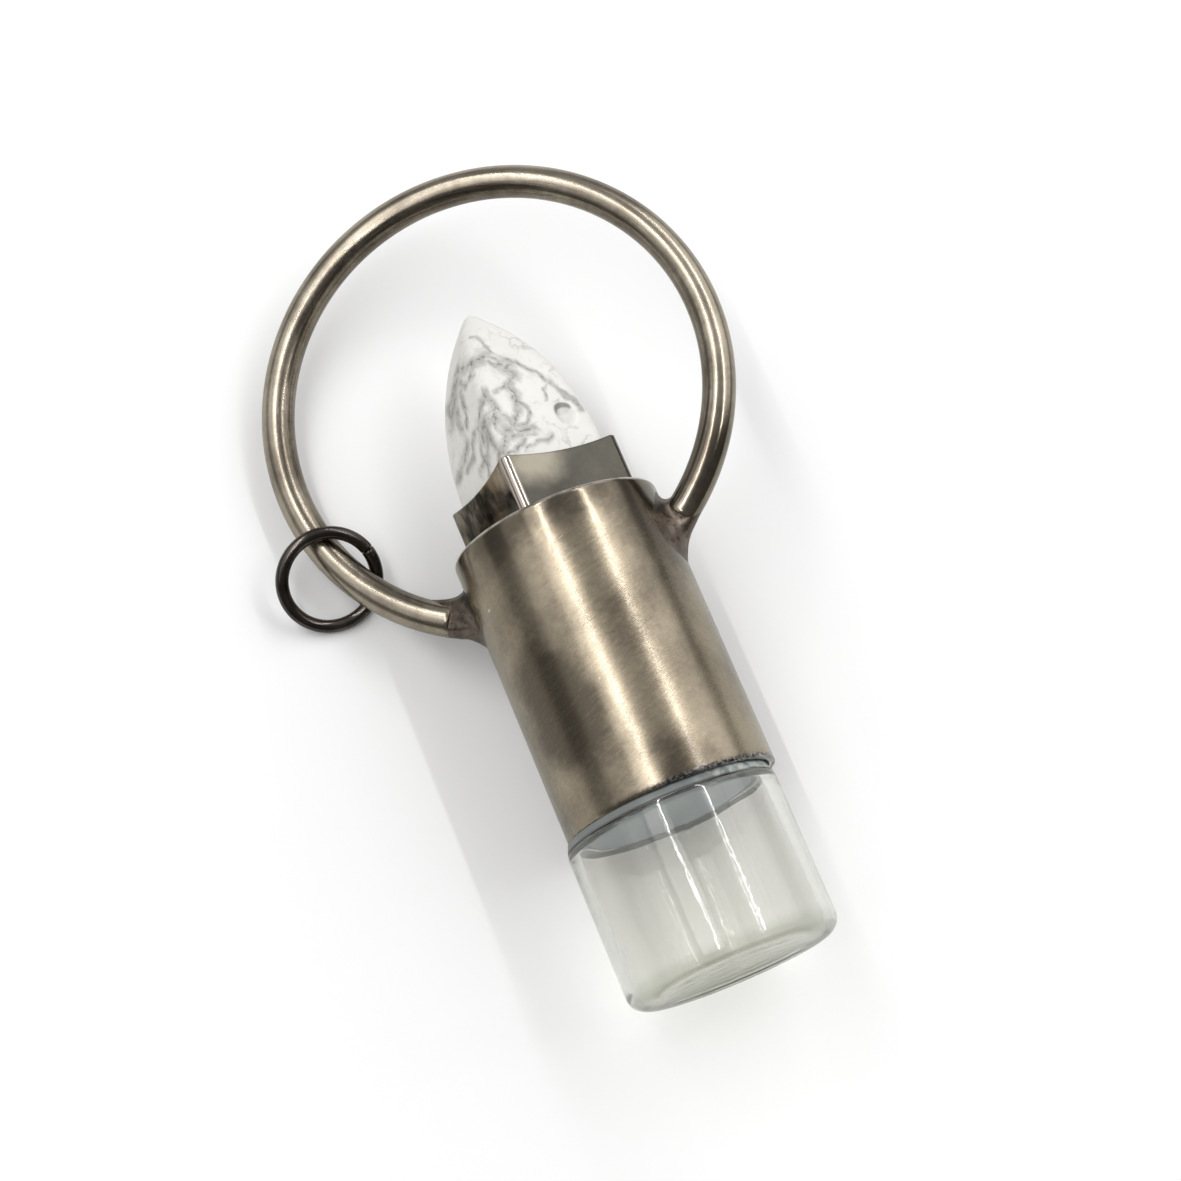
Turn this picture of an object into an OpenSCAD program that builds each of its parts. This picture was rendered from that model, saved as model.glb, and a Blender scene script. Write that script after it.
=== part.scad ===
// Bottle pendant: a small glass bottle in a metal cap that carries a carved stone point and a big hoop.
// It lies on its side on z = 0, rolled until the jump ring props the hoop.
// Pieces are drawn along their own axis, with the cap's mouth at z = 0, and then laid down together.

/* [Cap] */
// Outside diameter of the sleeve, and of the glass that lines up with it
sleeve_d = 16; // [14:0.5:20]
// Length of the sleeve, mouth to top
sleeve_len = 22.5; // [18:0.5:30]
// Thickness of the sleeve's wall
sleeve_wall = 0.5; // [0.4:0.1:0.8]
// Thickness of the plate that closes the sleeve's top
plate_t = 0.8; // [0.7:0.1:2]
// Radius of the worn edge round the sleeve's top
edge_r = 0.6; // [0.2:0.1:0.7]

/* [Hoop] */
// Outside diameter of the hoop
hoop_d = 36.8; // [34:0.2:44]
// Diameter of the hoop's wire
wire_d = 2.5; // [2:0.1:3]
// Height of the hoop's centre above the sleeve's mouth
hoop_rise = 33.7; // [32:0.1:35]
// How far the hoop's centre sits left of the sleeve's axis
hoop_off = 0.4; // [0:0.1:1]
// How far the solder reaches out from the sleeve to the wire's cut end
solder_reach = 1.7; // [1:0.1:2.5]
// Diameter of the solder where it meets the sleeve
solder_d = 4.6; // [3.5:0.1:5.5]

/* [Bezel] */
// Outside width of the square bezel
bezel_side = 10; // [8:0.1:10.6]
// Height of the bezel above the sleeve
bezel_h = 4.4; // [3:0.1:7]
// Thickness of the bezel's wall
bezel_wall = 0.5; // [0.3:0.1:0.8]
// Radius of the bezel's upright corners
bezel_corner_r = 0.6; // [0.2:0.1:1.5]
// How far the bezel is turned from the hoop's plane, in degrees
bezel_turn = 4; // [-10:1:10]
// Depth of the hollow filed in the middle of each top edge
bezel_dip = 0.4; // [0.1:0.05:0.8]

/* [Stone] */
// Length of the stone, seat to tip
stone_len = 18; // [14:0.5:24]
// Length of the stone's straight shank
shank_len = 4.4; // [2:0.1:8]
// Radius of the stone's softened edges at the shank
stone_edge_r = 0.7; // [0.3:0.05:1.2]
// How blunt the point is: 0.5 swells out like half an ellipse, 1 runs in sharper
stone_taper = 0.7; // [0.5:0.05:1]
// Gap between the stone and the metal
stone_gap = 0.1; // [0.05:0.05:0.3]

/* [Bottle] */
// Length of the glass that shows below the cap
bottle_len = 12.8; // [9:0.1:40]
// Thickness of the glass wall
glass_wall = 0.9; // [0.7:0.1:1.2]
// Thickness of the glass base
base_t = 1.1; // [0.8:0.1:2]
// Radius of the heel between wall and base
heel_r = 1.3; // [0.8:0.1:2]
// Width of the flat ring that the bottle stands on
stand_w = 0.9; // [0.4:0.1:2]
// Gap between the neck and the sleeve's bore, on the side where they are closest
neck_gap = 0.1; // [0.05:0.05:0.5]
// Length of the neck
neck_len = 8; // [4:0.5:12]
// Thickness of the neck's wall
neck_wall = 0.6; // [0.4:0.1:1]
// Gap between the glass shoulder and the sleeve's mouth
mouth_gap = 0.1; // [0.05:0.05:0.3]
// Depth of the hollow pressed into the base
punt_depth = 0.5; // [0.2:0.1:0.8]
// How far the loose bottle and stopper lie to the left of the sleeve's axis
bottle_off = 0.4; // [0:0.1:0.4]

/* [Stopper] */
// Gap between the stopper and the inside of the neck
stopper_gap = 0.1; // [0.05:0.05:0.2]
// How far the stopper's face stands below the sleeve's mouth
stopper_drop = 0.75; // [0.2:0.05:1]
// Thickness of the stopper's flange, which is bedded in the sleeve
flange_t = 2; // [1:0.1:4]

/* [Jump ring] */
// Outside diameter of the jump ring
ring_d = 8.2; // [7.6:0.1:10]
// Diameter of the jump ring's wire
ring_wire = 1; // [0.8:0.05:1.2]
// Where the hoop runs through the jump ring, in degrees below the hoop's left side
ring_at = 23.5; // [15:0.5:35]
// Clear room between the hoop's wire and the inner side of the jump ring
ring_room = 0.75; // [0.5:0.05:1]
// How far the hoop's wire lies up the slope of the jump ring
ring_slip = 0.55; // [0.3:0.05:0.8]
// Width of the cut where the jump ring's ends meet
ring_cut = 0.1; // [0.05:0.05:0.2]
// Where the cut lies, in degrees from the ring's right side
ring_cut_at = 20; // [-60:5:60]

/* [Hidden] */
// Facets of round pieces, and of the stone's turned corners
fine = 96;
corner_steps = 6;
stone_rings = 14;

sleeve_r = sleeve_d / 2;
bore_r = sleeve_r - sleeve_wall;
wire_r = wire_d / 2;
hoop_r = hoop_d / 2 - wire_r;
ring_wire_r = ring_wire / 2;
ring_r = ring_d / 2 - ring_wire_r;
neck_r = bore_r - bottle_off - neck_gap;

// The hoop's low side is propped one jump ring wire off the surface, which sets how far the cap rolls
hoop_low = wire_r + ring_wire;
roll = asin((sleeve_r - hoop_low) / (hoop_r + hoop_off));

// The jump ring touches the surface, and the hoop's wire runs through it at this point of the hoop
through_x = -hoop_off - hoop_r * cos(ring_at);
through_z = sleeve_r + through_x * sin(roll);
ring_tilt = asin((through_z - ring_wire_r) / (ring_r + ring_slip));
ring_hang = ring_r - ring_wire_r - wire_r - ring_room;
ring_x = through_x * cos(roll) - ring_hang;
ring_y = hoop_rise - hoop_r * sin(ring_at) - ring_slip * cos(ring_tilt);
ring_z = ring_r * sin(ring_tilt) + ring_wire_r;

// The row's origin is under the middle of the whole pendant
left_x = min(ring_x - ring_d / 2, -(hoop_off + hoop_r) * cos(roll) - wire_r);
right_x = (hoop_r - hoop_off) * cos(roll) + wire_r;
mid_x = (left_x + right_x) / 2;
mid_y = (hoop_rise + hoop_d / 2 - bottle_len) / 2;

module laid() {
    translate([-mid_x, -mid_y, sleeve_r])
        rotate([0, -roll, 0])
            rotate([-90, 0, 0])
                children();
}

// Where the wire is cut, measured round the hoop's centre from straight down
function cut_angle(side) = asin((sleeve_r + solder_reach + side * hoop_off) / hoop_r);

module sleeve() {
    rotate_extrude($fn = fine) {
        square([sleeve_r, sleeve_len - edge_r]);
        square([sleeve_r - edge_r, sleeve_len]);
        translate([sleeve_r - edge_r, sleeve_len - edge_r])
            intersection() {
                circle(edge_r, $fn = 32);
                square(edge_r);
            }
    }
}

module hoop_wire() {
    left = cut_angle(-1);
    right = cut_angle(1);
    translate([-hoop_off, 0, hoop_rise])
        rotate([90, 0, 0])
            rotate([0, 0, right - 90])
                rotate_extrude(angle = 360 - left - right, $fn = 144)
                    translate([hoop_r, 0])
                        circle(wire_r, $fn = 32);
}

// Solder runs along the wire's line to the sleeve and flares out over it; side is -1 left, 1 right
module solder(side) {
    a = cut_angle(side);
    thin_r = wire_r * 0.94;
    flare = solder_d / 2 - thin_r;
    flare_len = solder_reach * 0.9;
    // The joint leans part of the way towards the wire's own direction, and ends inside the bore's cut
    lean = a * 0.35;
    end = solder_reach + sleeve_wall + 1;
    steps = 8;
    outline = concat(
        [[0, 0], [thin_r, 0]],
        [for (i = [0 : steps])
            [thin_r + flare * (1 - cos(90 * i / steps)),
             solder_reach - flare_len + flare_len * sin(90 * i / steps)]],
        [[solder_d / 2, end], [0, end]]);
    translate([-hoop_off + side * hoop_r * sin(a), 0, hoop_rise - hoop_r * cos(a)])
        rotate([0, -side * (90 + lean), 0])
            rotate_extrude($fn = 48)
                polygon(outline);
}

module rounded_square(side, r) {
    square([side, side - 2 * r], center = true);
    square([side - 2 * r, side], center = true);
    for (x = [-1, 1], y = [-1, 1])
        translate([x * (side / 2 - r), y * (side / 2 - r)])
            circle(r, $fn = 32);
}

module bezel() {
    inner = bezel_side - 2 * bezel_wall;
    // Each top edge is filed with a wide roller, from corner to corner
    half_dip = inner / 2 - bezel_corner_r;
    dip_r = (pow(half_dip, 2) + pow(bezel_dip, 2)) / (2 * bezel_dip);
    past = 0.5;
    rotate([0, 0, 45 - bezel_turn])
        difference() {
            translate([0, 0, sleeve_len - plate_t / 2])
                linear_extrude(bezel_h + plate_t / 2)
                    rounded_square(bezel_side, bezel_corner_r);
            translate([0, 0, sleeve_len])
                linear_extrude(bezel_h + past)
                    rounded_square(inner, max(0.1, bezel_corner_r - bezel_wall));
            for (a = [0 : 90 : 270])
                rotate([0, 0, a])
                    translate([inner / 2 - past, 0, sleeve_len + bezel_h + dip_r - bezel_dip])
                        rotate([0, 90, 0])
                            cylinder(r = dip_r, h = bezel_wall + 2 * past, $fn = 180);
        }
}

module cap() {
    color("#8f8473")
        laid()
            difference() {
                union() {
                    sleeve();
                    bezel();
                    hoop_wire();
                    for (side = [-1, 1])
                        solder(side);
                }
                translate([0, 0, -1])
                    cylinder(r = bore_r, h = sleeve_len - plate_t + 1, $fn = fine);
            }
}

// One cross-section of the stone: a square with softened corners
function soft_square(half, r, z) =
    [for (q = [0 : 3], i = [0 : corner_steps])
        let (a = 90 * q + 90 * i / corner_steps, m = 45 + 90 * q)
            [(half - r) * sqrt(2) * cos(m) + r * cos(a),
             (half - r) * sqrt(2) * sin(m) + r * sin(a), z]];

module stone() {
    half = bezel_side / 2 - bezel_wall - stone_gap;
    point_len = stone_len - shank_len;
    // The four faces close in on the tip, and the edges get softer on the way, up to almost round
    softer = 0.8;
    fullest = 0.96;
    levels = concat([0], [for (i = [0 : stone_rings - 1]) shank_len + point_len * sin(90 * i / stone_rings)]);
    halves = [for (z = levels)
        let (u = max(0, (z - shank_len) / point_len)) half * pow(1 - u * u, stone_taper)];
    rows = [for (k = [0 : len(levels) - 1])
        let (u = max(0, (levels[k] - shank_len) / point_len))
            soft_square(halves[k], min(halves[k] * fullest, stone_edge_r * (1 + softer * u)), levels[k])];
    n = len(rows[0]);
    last = len(rows) - 1;
    points = concat([for (row = rows) for (p = row) p], [[0, 0, stone_len]]);
    faces = concat(
        [[for (j = [0 : n - 1]) j]],
        [for (k = [0 : last - 1], j = [0 : n - 1])
            [k * n + j, (k + 1) * n + j, (k + 1) * n + (j + 1) % n, k * n + (j + 1) % n]],
        [for (j = [0 : n - 1]) [last * n + j, len(points) - 1, last * n + (j + 1) % n]]);
    color("#e6e4de")
        laid()
            translate([0, 0, sleeve_len + stone_gap])
                rotate([0, 0, 45 - bezel_turn])
                    polyhedron(points, faces, convexity = 4);
}

module jump_ring() {
    cut_deg = ring_cut / ring_r * 180 / PI;
    color("#3d3a38")
        translate([ring_x - mid_x, ring_y - mid_y, ring_z])
            rotate([ring_tilt, 0, 0])
                rotate([0, 0, ring_cut_at + cut_deg / 2])
                    rotate_extrude(angle = 360 - cut_deg, $fn = fine)
                        translate([ring_r, 0])
                            circle(ring_wire_r, $fn = 32);
}

// Half outline of a bottle of radius r and neck radius nr, from floor to top, with the given heel
module bottle_outline(r, nr, floor_z, top_z, shoulder_z, heel) {
    shoulder = r - nr;
    translate([0, floor_z + heel])
        square([r, shoulder_z - shoulder - floor_z - heel]);
    translate([0, floor_z])
        square([r - heel, shoulder_z - shoulder - floor_z]);
    translate([0, floor_z + heel])
        square([nr, top_z - floor_z - heel]);
    translate([r - heel, floor_z + heel])
        intersection() {
            circle(heel, $fn = 48);
            translate([0, -heel])
                square(heel);
        }
    translate([nr, shoulder_z - shoulder])
        intersection() {
            circle(shoulder, $fn = 48);
            square(shoulder);
        }
}

module bottle() {
    r = sleeve_r;
    stand_r = r - heel_r - stand_w;
    inner_heel_r = heel_r - glass_wall / 3;
    dome_r = (stand_r * stand_r + punt_depth * punt_depth) / (2 * punt_depth);
    color("#dfe6e1", 0.5)
        translate([-bottle_off, 0, 0])
            laid()
                rotate_extrude($fn = fine)
                    difference() {
                        bottle_outline(r, neck_r, -bottle_len, neck_len, -mouth_gap, heel_r);
                        difference() {
                            bottle_outline(r - glass_wall, neck_r - neck_wall, base_t - bottle_len,
                                neck_len + 1, -mouth_gap - glass_wall / 2, inner_heel_r);
                            dome_cap(dome_r, stand_r, base_t - bottle_len);
                        }
                        dome_cap(dome_r, stand_r, -bottle_len);
                    }
}

// Half of the shallow dome that the base is pressed into, standing on height z
module dome_cap(dome_r, stand_r, z) {
    intersection() {
        translate([0, z + punt_depth - dome_r])
            circle(dome_r, $fn = 360);
        translate([0, z - 0.01])
            square([stand_r, punt_depth + 0.02]);
    }
}

module stopper() {
    plug_r = neck_r - neck_wall - stopper_gap;
    flange_r = bore_r - bottle_off - stopper_gap;
    flange_z = neck_len + stopper_gap;
    color("#c9d0d2")
        translate([-bottle_off, 0, 0])
            laid()
                union() {
                    translate([0, 0, -stopper_drop])
                        cylinder(r = plug_r, h = stopper_drop + flange_z + 0.5, $fn = fine);
                    translate([0, 0, flange_z])
                        cylinder(r = flange_r, h = flange_t, $fn = fine);
                }
}

cap();
stone();
jump_ring();
bottle();
stopper();
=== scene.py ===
from math import acos, asin, cos, pi, radians, sin, sqrt

import bpy
import numpy as np
from mathutils import Matrix, Vector, noise


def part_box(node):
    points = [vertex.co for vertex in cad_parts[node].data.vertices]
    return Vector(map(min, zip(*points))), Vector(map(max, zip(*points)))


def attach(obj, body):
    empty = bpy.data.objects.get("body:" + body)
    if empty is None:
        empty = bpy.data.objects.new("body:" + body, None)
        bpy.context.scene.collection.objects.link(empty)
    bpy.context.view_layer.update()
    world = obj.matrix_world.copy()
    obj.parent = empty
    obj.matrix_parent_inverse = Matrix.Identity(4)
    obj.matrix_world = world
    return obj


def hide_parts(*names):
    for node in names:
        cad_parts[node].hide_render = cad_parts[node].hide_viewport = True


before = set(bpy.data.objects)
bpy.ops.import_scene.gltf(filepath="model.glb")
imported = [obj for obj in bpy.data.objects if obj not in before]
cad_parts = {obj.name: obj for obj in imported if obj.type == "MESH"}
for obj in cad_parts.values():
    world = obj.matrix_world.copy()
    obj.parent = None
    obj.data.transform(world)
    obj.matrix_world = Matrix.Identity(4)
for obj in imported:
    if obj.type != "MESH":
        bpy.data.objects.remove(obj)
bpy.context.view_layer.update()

# The studio is a plain pale table in a pale room. Two long lamps hang over the bottle, in line with it, each
# a bright tube in a wide dim box, and draw the bright bands down its cap. The camera looks steeply down.
mm = 0.001
camera_at = Vector((-32.586, -51.888, 182.515)) * mm
camera_aim = Vector((3.896, -0.356, 0.0)) * mm
camera_turn = radians(13.72)
camera_lens_mm = 76.72
table_half = 1.5
lamp_height = 0.62
lamp_length = 0.8
lamp_along = 0.24
room_low = (0.26, 0.26, 0.26)
room_high = (0.42, 0.42, 0.42)
room_pale = (0.92, 0.92, 0.915)
room_in_glass = (0.76, 0.77, 0.75)
room_glow = (0.44, 0.44, 0.44)
table_mirrored = (0.62, 0.62, 0.60)
table_in_glass = (0.80, 0.81, 0.78)

scene = bpy.context.scene
scene.view_settings.view_transform = "Standard"
scene.cycles.max_bounces = 32
scene.cycles.glossy_bounces = 24
scene.cycles.transmission_bounces = 32
scene.cycles.transparent_max_bounces = 24


def feed(tree, node, values):
    """Gives a node's inputs, by name or number, plain values, colours or other nodes' outputs."""
    for key, value in values.items():
        socket = node.inputs[key]
        if isinstance(value, bpy.types.NodeSocket):
            tree.links.new(value, socket)
        else:
            socket.default_value = (*value, 1) if socket.type == "RGBA" else value


def add(tree, kind, values=None, **settings):
    """A new node with its settings and its inputs."""
    made = tree.nodes.new(kind)
    for name, value in settings.items():
        setattr(made, name, value)
    feed(tree, made, values or {})
    return made


def calc(tree, operation, first, second=0.0, third=0.0, clamp=False):
    made = add(tree, "ShaderNodeMath", {0: first, 1: second, 2: third}, operation=operation, use_clamp=clamp)
    return made.outputs[0]


def plus(tree, first, second):
    return calc(tree, "ADD", first, second)


def minus(tree, first, second):
    return calc(tree, "SUBTRACT", first, second)


def times(tree, first, second):
    return calc(tree, "MULTIPLY", first, second)


def vector_calc(tree, operation, first, second):
    return add(tree, "ShaderNodeVectorMath", {0: first, 1: second}, operation=operation).outputs[0]


def length_of(tree, first):
    return add(tree, "ShaderNodeVectorMath", {0: first}, operation="LENGTH").outputs["Value"]


def split(tree, place):
    """The place's X, Y and Z."""
    return add(tree, "ShaderNodeSeparateXYZ", {0: place}).outputs


def tint(tree, share, first, second):
    """The first colour turning into the second as share goes from 0 to 1."""
    return add(tree, "ShaderNodeMix", {0: share, 6: first, 7: second}, data_type="RGBA").outputs[2]


def ramp(tree, value, low, high, to_low=0.0, to_high=1.0):
    """Carries value from the range low to high over to another range, with soft ends."""
    values = {0: value, 1: low, 2: high, 3: to_low, 4: to_high}
    return add(tree, "ShaderNodeMapRange", values, interpolation_type="SMOOTHSTEP").outputs[0]


def cloud(tree, place, size, detail=3.0, rough=0.55):
    """Noise whose lumps are about that many millimetres across."""
    values = {"Vector": place, "Scale": 1 / size, "Detail": detail, "Roughness": rough}
    return add(tree, "ShaderNodeTexNoise", values).outputs["Fac"]


def stretched(tree, place, across, along):
    """The place squeezed so that noise in it comes out long: across for x and y, along for z."""
    return vector_calc(tree, "MULTIPLY", place, (across, across, along))


def bumped(tree, height, strength, depth):
    """A normal that follows the height, which is worth depth in mm."""
    values = {"Strength": strength, "Distance": depth * mm, "Height": height}
    return add(tree, "ShaderNodeBump", values).outputs[0]


def kept(tree, name, output="Vector"):
    """What the mesh keeps for each of its points under that name: a place, or a number as Fac."""
    return add(tree, "ShaderNodeAttribute", attribute_name=name).outputs[output]


def new_finish(name):
    """A material, its node tree, its Principled shader and the place on the piece in millimetres."""
    material = bpy.data.materials.new(name)
    material.use_nodes = True
    tree = material.node_tree
    shader = tree.nodes["Principled BSDF"]
    place = kept(tree, "place")
    return material, tree, shader, place


def keep(mesh, name, kind, values):
    """Stores a number or a place for each of the mesh's points, for the finish."""
    stored = mesh.attributes.new(name, kind, "POINT")
    stored.data.foreach_set("value" if kind == "FLOAT" else "vector", values)


def made_of(piece, points, faces, matrix):
    """A smooth-shaded mesh object, laid in the scene by matrix. Each point keeps its place on the piece, in
    mm, for the finish."""
    mesh = bpy.data.meshes.new(piece)
    mesh.from_pydata([tuple(p) for p in points], [], faces)
    mesh.polygons.foreach_set("use_smooth", [True] * len(mesh.polygons))
    keep(mesh, "place", "FLOAT_VECTOR", [c / mm for p in points for c in p])
    mesh.transform(matrix)
    body = bpy.data.objects.new(piece, mesh)
    scene.collection.objects.link(body)
    return body


def studio():
    camera = bpy.data.objects.new("camera", bpy.data.cameras.new("camera"))
    camera.data.lens = camera_lens_mm
    camera.data.clip_start = 0.005
    gaze = (camera_aim - camera_at).to_track_quat("-Z", "Y").to_matrix().to_4x4()
    camera.matrix_world = Matrix.Translation(camera_at) @ gaze @ Matrix.Rotation(camera_turn, 4, "Z")
    scene.collection.objects.link(camera)
    scene.camera = camera

    corners = [(x * table_half, y * table_half, 0) for x, y in ((-1, -1), (1, -1), (1, 1), (-1, 1))]
    table = made_of("table_top", corners, [(0, 1, 2, 3)], Matrix())
    material, tree, shader, place = new_finish("pale_table")
    pale = tint(tree, cloud(tree, place, 40.0), (0.93, 0.93, 0.93), (0.95, 0.95, 0.95))
    path = add(tree, "ShaderNodeLightPath").outputs
    in_glass = calc(tree, "MAXIMUM", path["Is Singular Ray"], path["Transmission Depth"], clamp=True)
    in_metal = calc(tree, "SUBTRACT", path["Is Glossy Ray"], in_glass, clamp=True)
    in_glass = times(tree, path["Is Glossy Ray"], in_glass)
    pale = tint(tree, in_glass, pale, table_in_glass)
    finish = {
        "Base Color": tint(tree, in_metal, pale, table_mirrored),
        "Roughness": 0.9,
        "Specular IOR Level": 0.0,
    }
    feed(tree, shader, finish)
    table.data.materials.append(material)

    # Metal mirrors a dim room, darkest where the photographer stands, while camera and glass see a pale one
    world = bpy.data.worlds.new("room")
    world.use_nodes = True
    tree = world.node_tree
    towards = split(tree, add(tree, "ShaderNodeTexCoord").outputs["Generated"])
    dome = tint(tree, ramp(tree, towards[2], 0.1, 0.95), room_low, room_high)
    dome = tint(tree, ramp(tree, towards[1], -0.35, 0.2, 0.75, 0.0), dome, (0.05, 0.045, 0.04))
    path = add(tree, "ShaderNodeLightPath").outputs
    seen = calc(tree, "MAXIMUM", path["Is Camera Ray"], path["Is Transmission Ray"])
    in_glass = calc(tree, "MAXIMUM", path["Is Singular Ray"], path["Transmission Depth"], clamp=True)
    dome = tint(tree, in_glass, dome, room_in_glass)
    dome = tint(tree, path["Is Diffuse Ray"], dome, room_glow)
    tree.links.new(tint(tree, seen, dome, room_pale), tree.nodes["Background"].inputs["Color"])
    scene.world = world

    # Each lamp: angle from straight up towards the right, width, brightness, seen mirrored in the metal
    lamps = {
        "window_left": (-52, 0.26, 0.55, True),
        "tube_left": (-18.5, 0.010, 36.0, True),
        "box_left": (-24, 0.25, 1.55, True),
        "tube_right": (31, 0.011, 32.0, True),
        "box_right": (37, 0.23, 0.95, True),
        "window_right": (62, 0.28, 0.8, True),
        "sky_right": (42, 0.5, 0.45, False),
    }
    for name, (angle, across, glow, mirrored) in lamps.items():
        lamp = bpy.data.lights.new(name, "AREA")
        lamp.shape = "RECTANGLE"
        lamp.size = across
        lamp.size_y = lamp_length
        lamp.energy = glow * across * lamp.size_y * pi
        holder = bpy.data.objects.new(name, lamp)
        turn = Matrix.Rotation(radians(angle), 4, "Y")
        holder.matrix_world = turn @ Matrix.Translation((0, lamp_along, lamp_height))
        holder.visible_camera = False
        holder.visible_glossy = mirrored
        holder.visible_transmission = mirrored
        scene.collection.objects.link(holder)


studio()

# The cap's sleeve is a brass tube with a closed top, brushed round and round and plated antique grey-brown.
# The plating is rubbed bright in places, and the sawn mouth was left with small nicks. Its colour also holds
# painted shade in patches, a painted highlight along the rim, painted glints and painted light in the bore.
sleeve_r = 8.0 * mm
sleeve_len = 22.5 * mm
sleeve_wall = 0.5 * mm
plate_t = 0.8 * mm
rim_r = 0.4 * mm
brush_depth = 0.012 * mm
nick_depth = 0.10 * mm
painted_bore_rise = 2.2 * mm
glass_shift = 0.4 * mm
hoop_r = 17.15 * mm
hoop_off = 0.4 * mm
hoop_rise = 33.7 * mm
wire_r = 1.25 * mm
ring_wire = 1.0 * mm

glass_low, glass_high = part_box("bottle")
cap_low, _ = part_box("cap")
roll = asin((sleeve_r - wire_r - ring_wire) / (hoop_r + hoop_off))
axis_x = (glass_low.x + glass_high.x) / 2 + glass_shift
laid = (
    Matrix.Translation((axis_x, cap_low.y, sleeve_r))
    @ Matrix.Rotation(-roll, 4, "Y")
    @ Matrix.Rotation(radians(-90), 4, "X")
)


def arc(across, up, radius, start, end, steps):
    """Points along an arc, with angles in degrees."""
    angles = [radians(start + (end - start) * k / steps) for k in range(steps + 1)]
    return [(across + radius * cos(a), up + radius * sin(a)) for a in angles]


def turned(piece, outline, steps, matrix, shape=None, closed=False):
    """A body turned on a lathe from its outline, given as (radius, height) from axis to axis, or closed on
    itself for a ring. shape may move each point, given its angle, radius and height."""
    points, rings = [], []
    for radius, height in outline:
        if radius < 1e-7:
            rings.append([len(points)])
            points.append((0.0, 0.0, height))
            continue
        rings.append(list(range(len(points), len(points) + steps)))
        for k in range(steps):
            a = 2 * pi * k / steps
            r, z = shape(a, radius, height) if shape else (radius, height)
            points.append((r * cos(a), r * sin(a), z))
    faces = []
    if closed:
        rings.append(rings[0])
    for lower, upper in zip(rings, rings[1:]):
        for k in range(steps):
            n = (k + 1) % steps
            if len(lower) == 1:
                faces.append((lower[0], upper[n], upper[k]))
            elif len(upper) == 1:
                faces.append((lower[k], lower[n], upper[0]))
            else:
                faces.append((lower[k], lower[n], upper[n], upper[k]))
    return made_of(piece, points, faces, matrix)


def effect(name, inputs, outputs):
    """An empty node group with its sockets, and its input and output nodes."""
    group = bpy.data.node_groups.new(name, "ShaderNodeTree")
    kinds = {"v": "NodeSocketVector", "f": "NodeSocketFloat", "c": "NodeSocketColor"}
    for side, sockets in (("INPUT", inputs), ("OUTPUT", outputs)):
        for label, kind in sockets.items():
            group.interface.new_socket(name=label, in_out=side, socket_type=kinds[kind])
    return group, add(group, "NodeGroupInput").outputs, add(group, "NodeGroupOutput").inputs


def use(tree, group, values):
    return add(tree, "ShaderNodeGroup", values, node_tree=group).outputs


def plated(tree, place, dark, bare, patch, darkness):
    """The colour of antique plating, in patches about that many mm across."""
    values = {"Place": place, "Dark": dark, "Bare": bare, "Patch Size": patch, "Darkness": darkness}
    return use(tree, patina, values)["Color"]


def patina_effect():
    """Antique plating in soft clouds: dark where it was left, bright where rubbed, with fine freckles."""
    sockets = {"Place": "v", "Dark": "c", "Bare": "c", "Patch Size": "f", "Darkness": "f"}
    group, given, result = effect("patina", sockets, {"Color": "c"})
    size = calc(group, "DIVIDE", 1.0, given["Patch Size"])
    values = {"Vector": given["Place"], "Scale": size, "Detail": 3.0, "Roughness": 0.45}
    broad = add(group, "ShaderNodeTexNoise", values).outputs["Fac"]
    fine = cloud(group, given["Place"], 0.5, 4.0, 0.7)
    mixed = calc(group, "MULTIPLY_ADD", broad, 0.58, 0.11)
    mixed = plus(group, mixed, times(group, fine, 0.20))
    rubbed = ramp(group, minus(group, mixed, given["Darkness"]), 0.22, 0.68)
    freckles = ramp(group, cloud(group, given["Place"], 0.16, 2.0), 0.64, 0.76, 0.0, 0.16)
    colour = tint(group, rubbed, given["Dark"], given["Bare"])
    colour = tint(group, freckles, colour, (0.03, 0.024, 0.018))
    group.links.new(colour, result["Color"])
    return group


def hairline_effect():
    """Brushing: fine short lines wound round the axis at a slight slant, with a height for a bump."""
    sockets = {"Place": "v", "Spacing": "f", "Run": "f", "Slant": "f"}
    group, given, result = effect("hairlines", sockets, {"Lines": "f", "Height": "f"})
    place = split(group, given["Place"])
    angle = calc(group, "ARCTAN2", place["X"], times(group, place["Y"], -1.0))
    wound = times(group, angle, sleeve_r / mm)
    high = minus(group, place["Z"], times(group, wound, given["Slant"]))
    along = calc(group, "DIVIDE", wound, given["Run"])
    across = calc(group, "DIVIDE", high, given["Spacing"])
    flat = add(group, "ShaderNodeCombineXYZ", {0: along, 1: across}).outputs[0]
    thin = cloud(group, flat, 1.0, 3.0, 0.7)
    broad = cloud(group, stretched(group, flat, 0.3, 0.3), 1.0, 2.0)
    lines = plus(group, times(group, thin, 0.7), times(group, broad, 0.3))
    group.links.new(ramp(group, lines, 0.32, 0.68), result["Lines"])
    group.links.new(lines, result["Height"])
    return group


patina = patina_effect()
hairlines = hairline_effect()
metal_dark = (0.118, 0.095, 0.065)
metal_bare = (0.475, 0.40, 0.29)

# Darker patches, partly where the plating stayed dark and partly painted shade and painted dim reflection,
# such as the shadow beside the right solder joint: angle round from the front, height in mm, reach round
# and along in mm, and how dark
sleeve_dark_and_shade_patches = (
    (-18, 7.2, 3.3, 5.0, 0.85),
    (-26, 21.6, 3.6, 2.6, 0.7),
    (17, 21.9, 7.0, 2.0, 0.85),
    (19, 2.0, 3.4, 6.0, 0.3),
    (35, 12.5, 2.0, 3.2, 0.3),
    (-33, 8.2, 3.4, 5.0, 1.1),
    (66, 18.8, 4.2, 4.4, 1.15),
    (-48, 13.0, 2.5, 5.0, 0.2),
    (-32, 10.5, 1.7, 3.6, 0.6),
    (24, 1.2, 2.6, 2.4, 0.75),
    (25, 12.0, 1.6, 3.2, 0.45),
    (150, 9.0, 4.5, 6.0, 0.8),
    (215, 15.0, 4.0, 5.0, 0.7),
)


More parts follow.
